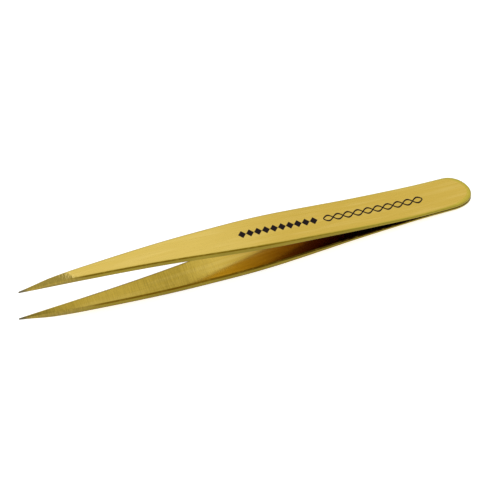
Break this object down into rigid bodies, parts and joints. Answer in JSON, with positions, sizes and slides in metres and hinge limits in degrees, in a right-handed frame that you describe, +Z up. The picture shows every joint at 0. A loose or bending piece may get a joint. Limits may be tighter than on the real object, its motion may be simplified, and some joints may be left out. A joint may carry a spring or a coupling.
{
  "type": "precision tweezers",
  "caption": "Needle-point tweezers: sprung metal strips welded together at a rounded tail, which close at the tips when squeezed.",
  "frame": {"origin": "on the surface that the tweezers lie on, under the middle of their box", "axes": "+X from the tips to the welded tail, +Y across the arms' width, +Z up, away from the surface; the plane between the arms slopes down towards the tail by 4.57 degrees"},
  "size_m": [0.1202, 0.0098, 0.017],
  "materials": {
    "plated_gold": "satin, gold-plated stainless steel, brushed lengthwise on the outer faces",
    "weld_steel": "bare fused steel, hidden"
  },
  "bodies": {
    "tail": {"upper_arm_heel": "plated_gold", "lower_arm_heel": "plated_gold", "spot_weld_front": "weld_steel", "spot_weld_rear": "weld_steel"},
    "upper_arm": {"upper_arm_blade": "plated_gold"},
    "lower_arm": {"lower_arm_blade": "plated_gold"}
  },
  "joints": [
    {"name": "upper_arm_flex", "type": "hinge", "parent": "tail", "child": "upper_arm", "pos_m": [0.03668, 0, 0.00392], "axis": [0, -1, 0], "range_deg": [0, 3.28], "stiffness_Nm_per_rad": 4.5},
    {"name": "lower_arm_flex", "type": "hinge", "parent": "tail", "child": "lower_arm", "pos_m": [0.03649, 0, 0.00162], "axis": [0, 1, 0], "range_deg": [0, 3.28], "stiffness_Nm_per_rad": 4.5}
  ],
  "couplings": [
    {"joint": "lower_arm_flex", "follows": "upper_arm_flex", "ratio": 1}
  ]
}
